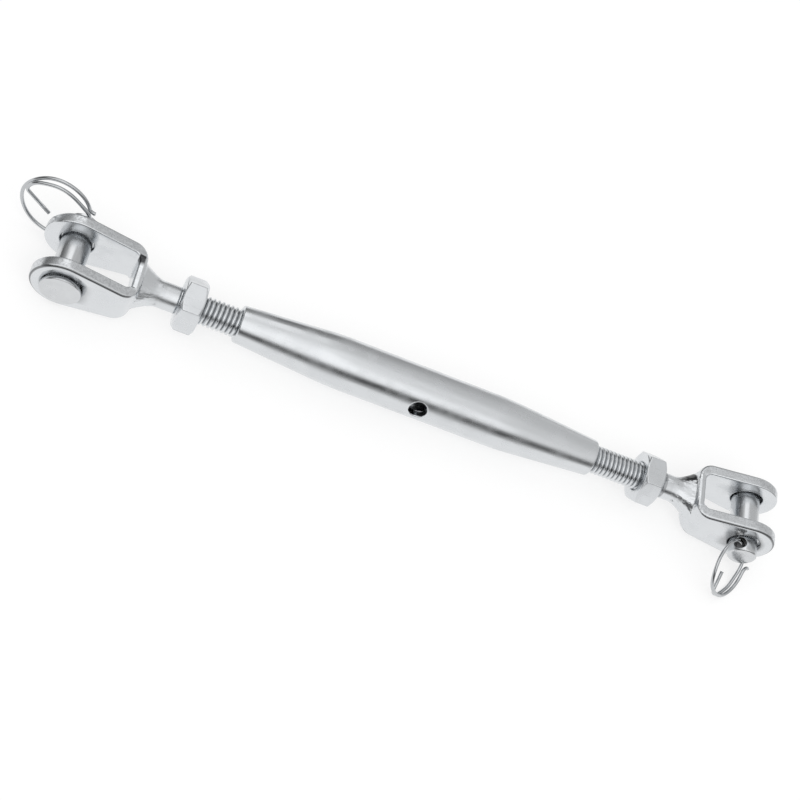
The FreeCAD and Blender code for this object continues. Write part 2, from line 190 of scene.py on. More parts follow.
@dataclass
class CrossDrilled:
    """A turned piece with one round hole drilled straight through its axis.

    The turned surface is the grid (x, r(x) cos a, r(x) sin a), with the angle a
    counted from the hole. Around each mouth of the hole a square window is cut
    from the grid and filled by rings that pass from the square to the circle,
    over the rounded rim, down the hole and out at the other end.
    """

    stations: np.ndarray
    closed: bool
    columns: int
    window_columns: int
    outer_row: int
    inner_row: int
    hole_x: float
    hole_radius: float
    rim_round: float
    outer_radius: float
    inner_radius: float

    def grid(self) -> np.ndarray:
        """Vertices of the plain turned surface, shape (rows, columns, 3)."""
        turn = 2 * np.pi * np.arange(self.columns) / self.columns
        x, r = self.stations[:, 0:1], self.stations[:, 1:2]
        return np.stack([x + 0 * turn, r * np.cos(turn), r * np.sin(turn)], axis=-1)

    def window(self, first_row: int, centre: int, flip_rows: bool, mirror: bool) -> np.ndarray:
        """Vertex numbers round a square window, anticlockwise seen from outside.

        Args:
            first_row: the window's first row.
            centre: the column at the window's middle.
            flip_rows: true where the rows run towards -X, as inside a tube.
            mirror: true to walk the columns the other way.

        Returns:
            An array of 8 * window_columns vertex numbers.
        """
        c = self.window_columns
        side = np.arange(2 * c)
        row = np.concatenate([0 * side, side, 0 * side + 2 * c, 2 * c - side])
        col = np.concatenate([side, 0 * side + 2 * c, 2 * c - side, 0 * side]) - c
        if flip_rows:
            row = 2 * c - row
        if mirror:
            col = -col
        return (first_row + row) * self.columns + (centre + col) % self.columns

    def mouth(self, corners: np.ndarray, radius: float, rim: float, sign: float, steps: int) -> np.ndarray:
        """Rings from a square window to the hole's rim on a cylinder of one radius.

        Args:
            corners: positions round the window, shape (n, 3).
            radius: radius of the cylinder there.
            rim: radius of the rounded rim, 0 for none.
            sign: 1 on the hole's own side, -1 on the far side.
            steps: number of rings from the square to the circle.

        Returns:
            Rings of shape (count, n, 3), the first one next to the window.
        """
        a = corners[:, 0] - self.hole_x
        w = corners[:, 2] * sign
        turn = np.arctan2(w, a)
        wide = self.hole_radius + rim
        share = (np.arange(1, steps + 1) / steps)[:, None]
        ring_a = (1 - share) * a + share * wide * np.cos(turn)
        ring_w = (1 - share) * w + share * wide * np.sin(turn)
        height = np.sqrt(radius ** 2 - ring_w ** 2)
        rings = [np.stack([self.hole_x + ring_a, sign * height, sign * ring_w], axis=-1)]
        if rim > 0:
            roll = (np.pi / 2 * np.arange(1, 7) / 6)[:, None]
            reach = wide - rim * np.sin(roll)
            top = np.sqrt(radius ** 2 - (wide * np.sin(turn)) ** 2) - rim * (1 - np.cos(roll))
            rings.append(np.stack([self.hole_x + reach * np.cos(turn),
                                   sign * top + 0 * reach, sign * reach * np.sin(turn)], axis=-1))
        return np.concatenate(rings)

    def build(self, name: str, place: np.ndarray, origin: np.ndarray) -> bpy.types.Object:
        """The finished piece.

        Args:
            name: the object's name.
            place: 3 by 3 matrix whose rows are the piece's own axes in the frame.
            origin: where the piece's zero point lies, in millimetres.

        Returns:
            The linked object.
        """
        grid = self.grid()
        points = grid.reshape(-1, 3)
        quads = grid_quads(len(grid), self.columns, wrap_rows=self.closed)
        c, half = self.window_columns, self.columns // 2
        keep = np.ones(quads.shape[:2], dtype=bool)
        near = np.arange(-c, c) % self.columns
        starts = [self.outer_row] + ([self.inner_row] if self.inner_radius > 0 else [])
        for start in starts:
            for cols in (near, (near + half) % self.columns):
                keep[np.ix_(np.arange(start, start + 2 * c), cols)] = False
        all_quads = [quads[keep]]
        stack = [points]
        count = len(points)

        def add_sleeve(first: np.ndarray, last: np.ndarray, down: np.ndarray, up: np.ndarray,
                       steps: int) -> None:
            """Join two windows by the rings of both mouths and a straight wall between them."""
            nonlocal count
            share = (np.arange(1, steps) / steps)[:, None, None]
            rings = np.concatenate([down, down[-1] * (1 - share) + up[-1] * share, up[::-1]])
            n = len(first)
            numbers = count + np.arange(len(rings) * n).reshape(len(rings), n)
            ladder = np.concatenate([first[None], numbers, last[None]])
            nxt = np.roll(ladder, -1, axis=1)
            all_quads.append(np.stack([ladder[:-1], nxt[:-1], nxt[1:], ladder[1:]], axis=-1).reshape(-1, 4))
            stack.append(rings.reshape(-1, 3))
            count += len(rings) * n

        if self.inner_radius > 0:
            for centre, sign in ((0, 1.0), (half, -1.0)):
                first = self.window(self.outer_row, centre, False, False)
                last = self.window(self.inner_row, centre, True, False)
                down = self.mouth(points[first], self.outer_radius, self.rim_round, sign, 8)
                up = self.mouth(points[last], self.inner_radius, 0.0, sign, 6)
                add_sleeve(first, last, down, up, 6)
        else:
            first = self.window(self.outer_row, 0, False, False)
            last = self.window(self.outer_row, half, False, True)
            down = self.mouth(points[first], self.outer_radius, self.rim_round, 1.0, 6)
            up = self.mouth(points[last], self.outer_radius, self.rim_round, -1.0, 6)
            add_sleeve(first, last, down, up, 12)
        points = np.concatenate(stack)
        return make_piece(name, (origin + points @ place) * MM, np.concatenate(all_quads))


# Finishes


class Graph:
    """A shader node tree with short ways to add and join the nodes used here."""

    def __init__(self, tree: bpy.types.NodeTree) -> None:
        """Hold the tree."""
        self.tree = tree

    def add(self, kind: str, inputs: dict | None = None, **settings: object) -> bpy.types.Node:
        """A new node.

        Args:
            kind: the node's type name after "ShaderNode".
            inputs: a socket or plain value for each input, by name or number.
            settings: the node's own properties.

        Returns:
            The node.
        """
        node = self.tree.nodes.new("ShaderNode" + kind)
        for key, value in settings.items():
            setattr(node, key, value)
        self.feed(node, inputs or {})
        return node

    def feed(self, node: bpy.types.Node, inputs: dict) -> None:
        """Link a socket or set a plain value for each of a node's inputs."""
        for key, value in inputs.items():
            if isinstance(value, Socket):
                self.tree.links.new(value, node.inputs[key])
            else:
                node.inputs[key].default_value = value

    def math(self, operation: str, *values: object, clamp: bool = False) -> Socket:
        """The result of Math nodes on sockets or plain numbers, joined from left to right."""
        if len(values) == 1:
            return self.add("Math", {0: values[0]}, operation=operation, use_clamp=clamp).outputs[0]
        result = values[0]
        for value in values[1:]:
            result = self.add("Math", {0: result, 1: value}, operation=operation, use_clamp=clamp).outputs[0]
        return result

    def length(self, *parts: Socket) -> Socket:
        """The root of the sum of the parts' squares."""
        return self.math("SQRT", self.math("ADD", *(self.math("POWER", part, 2.0) for part in parts)))

    def split(self, vector: Socket) -> tuple:
        """The three components of a vector."""
        return tuple(self.add("SeparateXYZ", {0: vector}).outputs)

    def noise(self, vector: Socket, scale: float, detail: float, rough: float) -> Socket:
        """Noise of three dimensions, about 0.5."""
        return self.add("TexNoise", {"Vector": vector, "Scale": scale, "Detail": detail,
                                     "Roughness": rough}).outputs["Fac"]

    def stretched(self, vector: Socket, factors: object) -> Socket:
        """A vector times factors along X, Y and Z."""
        return self.add("VectorMath", {0: vector, 1: factors}, operation="MULTIPLY").outputs[0]

    def scaled(self, vector: Socket, scale: object) -> Socket:
        """A vector times one number."""
        return self.add("VectorMath", {0: vector, "Scale": scale}, operation="SCALE").outputs[0]

    def step(self, value: Socket, ends: Pair) -> Socket:
        """Linear step of a value, from 0 at the first end to 1 at the second."""
        return self.add("MapRange", {"Value": value, "From Min": ends[0], "From Max": ends[1]},
                        clamp=True).outputs["Result"]

    def both(self, value: Socket, rise: Pair, fall: Pair) -> Socket:
        """The product of two steps of one value, which is 1 in a band of it."""
        return self.math("MULTIPLY", self.step(value, rise), self.step(value, fall))

    def blend(self, share: object, first: object, second: object) -> Socket:
        """A mix of two colours, the second one where the share is 1."""
        return self.add("Mix", {"Factor": share, "A": first, "B": second}, data_type="RGBA").outputs["Result"]


def new_group(name: str, inputs: dict[str, object], outputs: tuple[str, ...]) -> tuple:
    """An empty shader node group that gives plain values.

    Args:
        name: the group's name.
        inputs: each input's default, a number, or a tuple or None for a vector.
        outputs: the outputs' names.

    Returns:
        The group's graph, the sockets its inputs come from, and its output node.
    """
    group = bpy.data.node_groups.new(name, "ShaderNodeTree")
    for label, default in inputs.items():
        kind = "NodeSocketFloat" if isinstance(default, float) else "NodeSocketVector"
        socket = group.interface.new_socket(name=label, in_out="INPUT", socket_type=kind)
        if default is not None:
            socket.default_value = default
    for label in outputs:
        group.interface.new_socket(name=label, in_out="OUTPUT", socket_type="NodeSocketFloat")
    return Graph(group), group.nodes.new("NodeGroupInput").outputs, group.nodes.new("NodeGroupOutput")


def build_polish_group() -> bpy.types.NodeTree:
    """Fine lines left by a polishing wheel, stretched along the way it ran."""
    graph, given, sink = new_group(
        "polishing_lines", {"Vector": None, "Stretch": (1.0, 1.0, 1.0), "Lines per mm": 6.0},
        ("Height", "Streaks"))
    along = graph.scaled(graph.stretched(given["Vector"], given["Stretch"]), given["Lines per mm"])
    fine = graph.noise(along, 1.0, 3.0, 0.65)
    broad = graph.noise(along, 0.17, 2.0, 0.5)
    graph.feed(sink, {"Height": fine, "Streaks": graph.math("MULTIPLY", fine, broad)})
    return graph.tree


def build_casting_group() -> bpy.types.NodeTree:
    """Slow ripple and fine orange peel that stay on a cast skin after polishing."""
    graph, given, sink = new_group("casting_skin", {"Vector": None, "Peel": 0.3}, ("Height", "Patches"))
    ripple = graph.noise(given["Vector"], 0.28, 1.5, 0.45)
    peel = graph.noise(given["Vector"], 2.6, 2.0, 0.5)
    patches = graph.step(graph.noise(given["Vector"], 0.16, 2.0, 0.5), (0.42, 0.68))
    height = graph.math("ADD", ripple, graph.math("MULTIPLY", peel, given["Peel"]))
    graph.feed(sink, {"Height": height, "Patches": patches})
    return graph.tree


def build_handling_group() -> bpy.types.NodeTree:
    """Small pits and short hairline scratches from handling."""
    graph, given, sink = new_group("handling_marks", {"Vector": None, "Amount": 0.5}, ("Marks",))
    cells = graph.add("TexVoronoi", {"Vector": given["Vector"], "Scale": 0.55})
    pits = graph.math("LESS_THAN", cells.outputs["Distance"], 0.075)
    turned = graph.add("Mapping", {"Vector": given["Vector"], "Rotation": (0.4, 0.9, 0.6),
                                   "Scale": (0.22, 3.4, 3.4)})
    hair = graph.step(graph.noise(turned.outputs[0], 1.1, 1.0, 0.4), (0.70, 0.76))
    marks = graph.math("MULTIPLY", graph.math("MAXIMUM", pits, hair), given["Amount"])
    graph.feed(sink, {"Marks": marks})
    return graph.tree


# Each mask's steps, of which it is the product: a value, and where its share is 0
# and where 1. Lengths are in millimetres, "from pin" counts towards the barrel,
# and a facing is a part of the surface's normal.
MASKS = {
    # down in the thread, where the jaw's finish paints shade
    "Root": (("from pin", 28.9, 29.6), ("off axis", 3.62, 3.36)),
    # on the neck's flare
    "Flare": (("from pin", 15.5, 18.5), ("from pin", 25.0, 21.5)),
    # on the flat edge of an ear
    "Rim": (("from pin", 17.6, 17.0), ("sideways", 5.4, 5.7), ("facing side", 0.35, 0.15)),
    # on the round between that edge and the ear's outer face, where the jaw's finish paints a dark reflection
    # line
    "Edge": (("from pin", 17.6, 17.0), ("sideways", 7.4, 7.8), ("facing side", 0.40, 0.62),
             ("facing side", 0.985, 0.90), ("level or eye", 0.0, 1.0)),
    # in the left throat's far corner, where the jaw's finish paints shade
    "Corner": (("x", 0.0, -1.0), ("y", 2.3, 3.6), ("y", 5.6, 5.45), ("z", 3.2, 3.8),
               ("from pin", 15.6, 15.8), ("from pin", 17.6, 17.3)),
    # on the turned end of the right shank beside the nut, which the jaw's finish makes rougher and darkens
    # with painted shade
    "Collar": (("x", 0.0, 1.0), ("from pin", 26.9, 27.05), ("from pin", 29.5, 29.3)),
    # on the ragged part of the right flare beyond the axis, where the jaw's finish paints dark reflections
    "Far side": (("x", 0.0, 1.0), ("ragged", 0.36, 0.46), ("from pin", 18.3, 18.5),
                 ("from pin", 24.2, 21.0)),
    # inside a pin's cross hole, where the pin's finish paints shade
    "Bore": (("from hole", 1.95, 1.80), ("off pin", 3.90, 3.70)),
}


def build_place_group() -> bpy.types.NodeTree:
    """Where a point lies on a fork or pin, as the masks of MASKS.

    Both forks are alike about the plane half way between their pins.
    """
    graph, given, sink = new_group("fork_places", {"Vector": None, "Normal": None}, tuple(MASKS))
    middle = (PIN_X[Side.RIGHT] + PIN_X[Side.LEFT]) / 2
    x, y, z = graph.split(given["Vector"])
    _, facing_y, facing_z = graph.split(given["Normal"])
    off = graph.math("ABSOLUTE", graph.math("SUBTRACT", x, middle))
    from_pin = graph.math("SUBTRACT", PIN_X[Side.RIGHT] - middle, off)

    # the rounds of the ears' long edges, and all of the round about the eye
    level = graph.step(graph.math("ABSOLUTE", facing_z), (0.20, 0.40))
    eye = graph.step(from_pin, (8.0, 6.0))

    # the place across the flare as a share of its half width, made ragged by noise
    neck_start, neck_half, neck_slope = 18.2, 6.3, 0.5
    narrower = graph.math("MULTIPLY", graph.math("SUBTRACT", from_pin, neck_start), neck_slope)
    across = graph.math("DIVIDE", y, graph.math("SUBTRACT", neck_half, narrower))
    uneven = graph.noise(graph.stretched(given["Vector"], (0.45, 1.0, 1.0)), 1.4, 3.0, 0.6)

    # the pin's own places: its free end points to +Y on the left, to -Y on the right
    hand = graph.math("SUBTRACT", graph.math("MULTIPLY", graph.step(x, (0.0, 1.0)), 2.0), 1.0)
    from_hole = graph.math("ADD", graph.math("MULTIPLY", y, hand), ClevisPin.hole_at)

    values = {
        "x": x, "y": y, "z": z, "from pin": from_pin, "sideways": graph.math("ABSOLUTE", y),
        "off axis": graph.length(y, z), "facing side": graph.math("ABSOLUTE", facing_y),
        "level or eye": graph.math("MAXIMUM", level, eye),
        "ragged": graph.math("ADD", across, graph.math("SUBTRACT", uneven, 0.5)),
        "from hole": graph.math("ABSOLUTE", from_hole),
        "off pin": graph.length(from_pin, graph.math("ADD", z, ClevisPin.drop)),
    }
    for label, steps in MASKS.items():
        shares = [graph.step(values[key], (zero, one)) for key, zero, one in steps]
        graph.feed(sink, {label: graph.math("MULTIPLY", *shares)})
    return graph.tree


@dataclass(frozen=True)
class SteelFinish:
    """One finish of polished stainless steel.

    Heights are in millimetres. Each entry of painted shade is a mask's name and how dark
    the steel is painted there towards the near-black colour; some entries paint shade, others dark
    reflections. Worn is how bright it is where it is handled.
    """

    name: str
    colour: Triple
    roughness: float
    roughness_spread: float
    grain: Grain
    lines_per_mm: float
    line_height: float
    skin_height: float
    peel: float
    marks: float
    streak_tint: float = 0.25
    flare_height: float = 0.0
    rim_speckle: float = 0.0
    collar_dull_and_shade: float = 0.0
    painted_shades: tuple[tuple[str, float], ...] = ()
    worn: float = 0.72
    collar_rough: float = 3.0
    grit_ends: Pair = (0.44, 0.60)
    flare_stretch: Triple = (0.30, 1.0, 1.0)
    # near-black colour of the painted shade and the painted dark reflections
    painted_shade_colour: tuple[float, float, float, float] = (0.03, 0.03, 0.032, 1.0)

    def build(self, groups: dict[str, bpy.types.NodeTree]) -> bpy.types.Material:
        """The material, made of the shared groups with this finish's values.

        Args:
            groups: the shared groups by name.

        Returns:
            The material.
        """
        material = bpy.data.materials.new(self.name)
        material.use_nodes = True
        graph = Graph(material.node_tree)
        coords = graph.add("TexCoord").outputs
        in_mm = graph.scaled(coords["Object"], 1 / MM)

        def placed(key: str, **inputs: object) -> bpy.types.bpy_prop_collection:
            """The outputs of a shared group, fed with the point in millimetres."""
            return graph.add("Group", {"Vector": in_mm, **inputs}, node_tree=groups[key]).outputs

        polish = placed("polish", Stretch=self.grain.value, **{"Lines per mm": self.lines_per_mm})
        casting = placed("casting", Peel=self.peel)
        marks = placed("handling", Amount=self.marks)["Marks"]
        places = placed("places", Normal=coords["Normal"])

        grit = graph.step(graph.noise(in_mm, 1.7, 4.0, 0.8), self.grit_ends)
        speckle = graph.math("MULTIPLY", places["Rim"], grit, self.rim_speckle)
        # the collar beside the right nut is rougher, and its colour is darkened by painted shade
        collar = graph.math("MULTIPLY", places["Collar"], self.collar_dull_and_shade)
        dull = graph.math("ADD", polish["Streaks"], casting["Patches"], marks, speckle,
                          graph.math("MULTIPLY", collar, self.collar_rough))
        spread = graph.math("MULTIPLY", dull, self.roughness_spread)
        rough = graph.math("ADD", spread, self.roughness, clamp=True)

        shade = graph.math("ADD", marks, graph.math("MULTIPLY", polish["Streaks"], self.streak_tint))
        clean = graph.blend(graph.math("ADD", shade, speckle, clamp=True), (*self.colour, 1.0),
                            (*(self.worn * c for c in self.colour), 1.0))
        # painted shade: each masked place and the collar beside the nut are darkened towards the near-black
        # colour
        dark = graph.math("MAXIMUM", collar, 0.0, *(graph.math("MULTIPLY", places[key], amount)
                                                    for key, amount in self.painted_shades))

        uneven = graph.math("MULTIPLY", places["Flare"],
                            graph.noise(graph.stretched(in_mm, self.flare_stretch), 0.8, 2.0, 0.5))
        relief = graph.add("Bump", {"Distance": self.line_height * MM, "Height": polish["Height"]})
        for height, value in ((self.skin_height, casting["Height"]), (self.flare_height, uneven)):
            relief = graph.add("Bump", {"Distance": height * MM, "Height": value,
                                        "Normal": relief.outputs[0]})
        graph.feed(graph.tree.nodes["Principled BSDF"], {
            "Metallic": 1.0, "Roughness": rough, "Base Color": graph.blend(dark, clean, self.painted_shade_colour),
            "Normal": relief.outputs[0]})
        return material


BLUE_WHITE = (0.755, 0.775, 0.795)

FINISHES = (
    SteelFinish("barrel_steel", BLUE_WHITE, roughness=0.17, roughness_spread=0.14,
                grain=Grain.LENGTHWISE, lines_per_mm=3.2, line_height=0.0040, skin_height=0.006,
                peel=0.02, marks=0.25, streak_tint=0.45),
    SteelFinish("jaw_steel", BLUE_WHITE, roughness=0.16, roughness_spread=0.14,
                grain=Grain.EVEN, lines_per_mm=4.0, line_height=0.0016, skin_height=0.030,
                peel=0.05, marks=0.35, flare_height=0.28, rim_speckle=1.0, collar_dull_and_shade=0.35,
                # painted shade in the thread roots and in the left throat's far corner, painted dark
                # reflections on the ear edges' rounds and on the right flare's far side; the collar value
                # above is also painted shade beside the nut
                painted_shades=(("Root", 0.50), ("Edge", 0.70), ("Corner", 0.95), ("Far side", 0.92))),
    SteelFinish("nut_steel", BLUE_WHITE, roughness=0.18, roughness_spread=0.14,
                grain=Grain.EVEN, lines_per_mm=5.0, line_height=0.0012, skin_height=0.012,
                peel=0.08, marks=0.60),
    SteelFinish("pin_steel", (0.72, 0.735, 0.75), roughness=0.18, roughness_spread=0.12,
                grain=Grain.ALONG_PIN, lines_per_mm=2.2, line_height=0.0200, skin_height=0.006,
                # painted shade inside the cross hole
                peel=0.05, marks=0.30, streak_tint=0.9, painted_shades=(("Bore", 0.95),)),
    SteelFinish("ring_wire", (0.56, 0.575, 0.59), roughness=0.10, roughness_spread=0.08,
                grain=Grain.EVEN, lines_per_mm=8.0, line_height=0.0006, skin_height=0.002,
                peel=0.05, marks=0.20),
)


# The screw's own parts


@dataclass
class TaperedBarrel:
    """The swaged tube with its tommy bar hole, turned about X."""

    end_radius: float = 5.05
    taper_slope: float = 0.0775
    blend_radius: float = 116.0
    wall: float = 2.1
    rim_round: float = 0.45
    mouth_chamfer: float = 0.5
    bore_radius: float = 4.0
    hole_radius: float = 2.5
    hole_round: float = 0.35
    hole_rise_deg: float = 15.0
    columns: int = 200
    window_columns: int = 20
    window_half: float = 3.9
    half_length: float = field(init=False)
    body_radius: float = field(init=False)

    def __post_init__(self) -> None:
        """Read the barrel's length and thickness from the frame."""
        _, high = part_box("barrel")
        self.half_length = high.x / MM
        self.body_radius = high.z / MM

    def outer(self, x: np.ndarray) -> np.ndarray:
        """Outer radius: a cylinder, then an arc tangent to it, then a straight taper."""
        corner = self.half_length - (self.body_radius - self.end_radius) / self.taper_slope
        angle = math.atan(self.taper_slope)
        tangent = self.blend_radius * math.tan(angle / 2)
        start, stop = corner - tangent, corner + tangent * math.cos(angle)
        at = np.abs(x)
        into = np.clip(at - start, 0.0, stop - start)
        blend = self.body_radius - (self.blend_radius - np.sqrt(self.blend_radius ** 2 - into ** 2))
        taper = self.end_radius + self.taper_slope * (self.half_length - at)
        return np.where(at > stop, taper, blend)

    def stations(self) -> tuple[np.ndarray, int, int]:
        """The closed outline (x, r) of the wall, and the rows where its windows start."""
        half, rim, c = self.half_length, self.rim_round, self.window_columns
        roll = np.pi / 2 * np.arange(0, 6) / 5
        corner_x = half - rim + rim * np.sin(roll)
        corner_r = float(self.outer(np.array([half - rim]))[0]) - rim * (1 - np.cos(roll))
        window = np.linspace(-self.window_half, self.window_half, 2 * c + 1)
        side = np.linspace(self.window_half, half - rim, 70)[1:-1]
        out_x = np.concatenate([-side[::-1], window, side])
        outer = np.stack([out_x, self.outer(out_x)], axis=1)
        right_rim = np.stack([corner_x, corner_r], axis=1)
        left_rim = np.stack([-corner_x[::-1], corner_r[::-1]], axis=1)
        hollow = self.body_radius - self.wall
        taper_from = half - (self.body_radius - self.end_radius) / self.taper_slope
        open_at = taper_from + (hollow - self.bore_radius) / self.taper_slope
        mouth = self.bore_radius + self.mouth_chamfer
        lips = np.array([[half, mouth], [half - self.mouth_chamfer, self.bore_radius],
                         [open_at, self.bore_radius], [taper_from, hollow]])
        inner_window = np.stack([window[::-1], 0 * window + hollow], axis=1)
        inner_left = lips[::-1] * np.array([-1.0, 1.0])
        parts = [left_rim, outer, right_rim, lips, inner_window, inner_left]
        outer_row = len(left_rim) + len(side)
        inner_row = len(left_rim) + len(outer) + len(right_rim) + len(lips)
        return np.concatenate(parts), outer_row, inner_row

    def build(self) -> bpy.types.Object:
        """The barrel as one closed surface."""
        stations, outer_row, inner_row = self.stations()
        turned = CrossDrilled(
            stations=stations, closed=True, columns=self.columns, window_columns=self.window_columns,
            outer_row=outer_row, inner_row=inner_row, hole_x=0.0, hole_radius=self.hole_radius,
            rim_round=self.hole_round, outer_radius=self.body_radius,
            inner_radius=self.body_radius - self.wall)
        rise = math.radians(self.hole_rise_deg)
        out = np.array([0.0, -math.cos(rise), math.sin(rise)])
        axis = np.array([1.0, 0.0, 0.0])
        piece = turned.build("barrel_body", np.array([axis, out, np.cross(axis, out)]), np.zeros(3))
        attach(piece, "barrel")
        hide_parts("barrel")
        return piece


@dataclass
class Thread:
    """A coarse metric screw thread: pitch, crest and root in millimetres."""

    pitch: float = 1.25
    crest_radius: float = 3.95
    root_radius: float = 3.28
    columns: int = 72
    profile: Curve = (
        (0.00, 0.88), (0.07, 0.97), (0.16, 1.0), (0.26, 1.0), (0.35, 0.97), (0.42, 0.88),
        (0.54, 0.50), (0.65, 0.10), (0.71, 0.0), (0.77, 0.10), (0.88, 0.50))

    def surface(self, start: float, stop: float, start_radius: float, run_out: float,
                tip_chamfer: float, hand: int) -> tuple[np.ndarray, np.ndarray]:
        """Points and quads of a thread along +u from start to stop.

        Every grid row follows the helix u = pitch * (turn + angle / 360 degrees),
        and its radius comes from the profile alone. Rows are clipped to the two
        end planes, where the radius runs out to a plain circle.

        Args:
            start: where the thread leaves the shank.
            stop: the tip.
            start_radius: radius of the plain circle at the start.
            run_out: length over which the thread takes its full depth.
            tip_chamfer: height of the 45 degree chamfer at the tip.
            hand: 1 for a right-hand thread, -1 for a left-hand one.

        Returns:
            Points as (u, y, z) and quads.
        """
        share = np.array([p[0] for p in self.profile])
        depth = np.array([p[1] for p in self.profile])
        per_turn = len(share)
        turns = int(math.ceil((stop - start) / self.pitch)) + 2
        row_u = start + self.pitch * (np.repeat(np.arange(-1, turns), per_turn) + np.tile(share, turns + 1))
        row_r = self.root_radius + (self.crest_radius - self.root_radius) * np.tile(depth, turns + 1)
        angle = np.arange(self.columns) / self.columns
        u = np.clip(row_u[:, None] + self.pitch * angle, start, stop)
        full = row_r[:, None] + 0 * angle
        blend = smooth_step((u - start) / run_out)
        radius = start_radius + (full - start_radius) * blend
        radius = np.minimum(radius, self.crest_radius - tip_chamfer + (stop - u))
        turn = 2 * np.pi * angle * hand
        points = np.stack([u, radius * np.cos(turn), radius * np.sin(turn)], axis=-1).reshape(-1, 3)
        quads = grid_quads(len(row_u), self.columns, wrap_cols=False)
        rows = np.arange(len(row_u) - per_turn - 1)
        last = self.columns - 1
        seam = np.stack([rows * self.columns + last, (rows + per_turn) * self.columns,
                         (rows + per_turn + 1) * self.columns, (rows + 1) * self.columns + last], axis=-1)
        quads = np.concatenate([quads.reshape(-1, 4), seam])
        return points, (quads if hand > 0 else quads[:, ::-1])


@dataclass
class ThreadedFork:
    """A fork end: the cast fork from the frame, with its stud cut as a real thread.

    Lengths are in millimetres. Places along the fork are distances u from the
    pin towards the barrel.
    """

    side: Side
    thread_start: float = 27.75
    stud_tip: float = 78.5
    shank_radius: float = 3.6
    shoulder: float = 0.15
    run_out: float = 1.0
    tip_chamfer: float = 0.9
    fork_end: float = 18.2
    fork_half: float = 8.7
    fork_corner: float = 4.2
    gap_half: float = 5.5
    bridge_start: float = 14.3
    bridge_end: float = 18.9
    land_top: float = 5.5
    land_ridge: float = 17.4
    throat_slope: float = 0.16
    back_slope: float = 0.36
    ear_start: float = 4.5
    ear_blend: float = 0.6
    saddle_drop: float = 1.4
    saddle_round: float = 2.8
    side_top: float = 5.59
    side_top_at: float = 16.5
    side_slope: float = 0.2
    neck_end: float = 24.0
    neck_rise: float = 1.35
    neck_curve: float = 1.7
    cast_tops: Curve = (
        (18.2, 3.87), (19.2, 3.80), (20.0, 3.76), (21.0, 3.70), (22.0, 3.66), (24.0, 3.60))
    dome_swell: float = 1.03
    dome_fall: float = 0.9
    dome_least: float = 0.06
    join_power: float = 10.0
    step_width: float = 0.30
    fade_start: float = 21.4
    fade_length: float = 2.4
    least_height: float = 0.05
    net_half: float = 8.4
    net_step: float = 0.6
    sharp_deg: float = 38.0
    thread: Thread = field(default_factory=Thread)

    def build(self) -> bpy.types.Object:
        """The fork, shank and threaded stud as one piece.

        The left stud is left-handed and the right one right-handed. The packed
        casting is cut square across its shank, and the thread's first circle is
        joined to the cut by a flat ring.
        """
        node = f"{self.side.word}_jaw"
        pin_x, way, hand = PIN_X[self.side], self.side.inward, self.side.value
        piece = merged_copy(node, f"{self.side.word}_fork")
        self.shape_neck(piece.data, pin_x, way)
        cut = pin_x + way * self.thread_start
        with mesh_edit(piece.data) as work:
            bmesh.ops.bisect_plane(
                work, geom=work.verts[:] + work.edges[:] + work.faces[:], dist=WELD,
                plane_co=(cut * MM, 0, 0), plane_no=(way, 0, 0), clear_outer=True)
        points, quads = self.thread.surface(
            self.thread_start, self.stud_tip, self.shank_radius - self.shoulder, self.run_out,
            self.tip_chamfer, hand)
        # half a turn about Z on the right end, where u points to -X
        turned = np.stack([pin_x + way * points[:, 0], way * points[:, 1], points[:, 2]], axis=-1)
        stud = make_piece(f"{self.side.word}_stud", turned * MM, quads)
        self.join(piece, stud, cut)
        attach(piece, node)
        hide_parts(node)
        return piece

    def cut_net(self, mesh: bpy.types.Mesh, pin_x: float, way: int) -> np.ndarray:
        """Cut the bridge and the neck into a fine net of triangles.

        Args:
            mesh: the casting's mesh.
            pin_x: the pin's X.
            way: direction of +u along X.

        Returns:
            The distances u of the planes that cross the screw.
        """
        # finer where the bridge passes into the neck
        u_cuts = np.concatenate([
            np.arange(14.5, 17.3, 0.3), [self.land_ridge], np.arange(17.6, self.fork_end, 0.2),
            self.fork_end + 0.1 * np.arange(4), np.arange(18.8, self.neck_end, 0.4)])
        y_cuts = np.arange(-self.net_half, self.net_half + 0.01, self.net_step)
        planes = [((pin_x + way * u, 0.0), (1, 0, 0)) for u in u_cuts]
        planes += [((0.0, y), (0, 1, 0)) for y in y_cuts]
        with mesh_edit(mesh) as work:
            for (x, y), normal in planes:
                near = [f for f in work.faces
                        if max(way * (v.co.x / MM - pin_x) for v in f.verts) > self.bridge_start
                        and min(way * (v.co.x / MM - pin_x) for v in f.verts) < self.neck_end]
                edges = list(dict.fromkeys(e for f in near for e in f.edges))
                verts = list(dict.fromkeys(v for f in near for v in f.verts))
                bmesh.ops.bisect_plane(work, geom=verts + edges + near, dist=CAD_WELD,
                                       plane_co=(x * MM, y * MM, 0), plane_no=normal)
            bmesh.ops.triangulate(work, faces=work.faces)
        return u_cuts

    def bridge_height(self, u: np.ndarray, y: np.ndarray, tall: np.ndarray) -> np.ndarray:
        """Height of the bridge between the ears, its saddle filled up to a ridge.

        The land falls gently from the ridge to the throat and more steeply to
        the neck, and meets the ears' own height near them. The casting's saddle
        is a flat of height side - saddle_drop with round corners.

        Args:
            u: distances from the pin.
            y: sideways places.
            tall: the casting's heights |z|.

        Returns:
            The new heights.
        """
        off = np.abs(y)
        side = self.side_top - self.side_slope * (u - self.side_top_at)
        into = np.clip(off - self.gap_half + self.saddle_round, 0.0, self.saddle_round)
        rise = self.saddle_round - np.sqrt(self.saddle_round ** 2 - into ** 2)
        saddle = np.minimum(side - self.saddle_drop + rise, side)
        land = self.land_top - self.throat_slope * np.maximum(self.land_ridge - u, 0.0)
        land -= self.back_slope * np.maximum(u - self.land_ridge, 0.0)
        land += (side - land) * smooth_step((off - self.ear_start) / self.ear_blend)
        between = (off < self.gap_half - 0.02) & (u > self.bridge_start) & (u < self.bridge_end)
        return tall * np.where(between, land / saddle, 1.0)

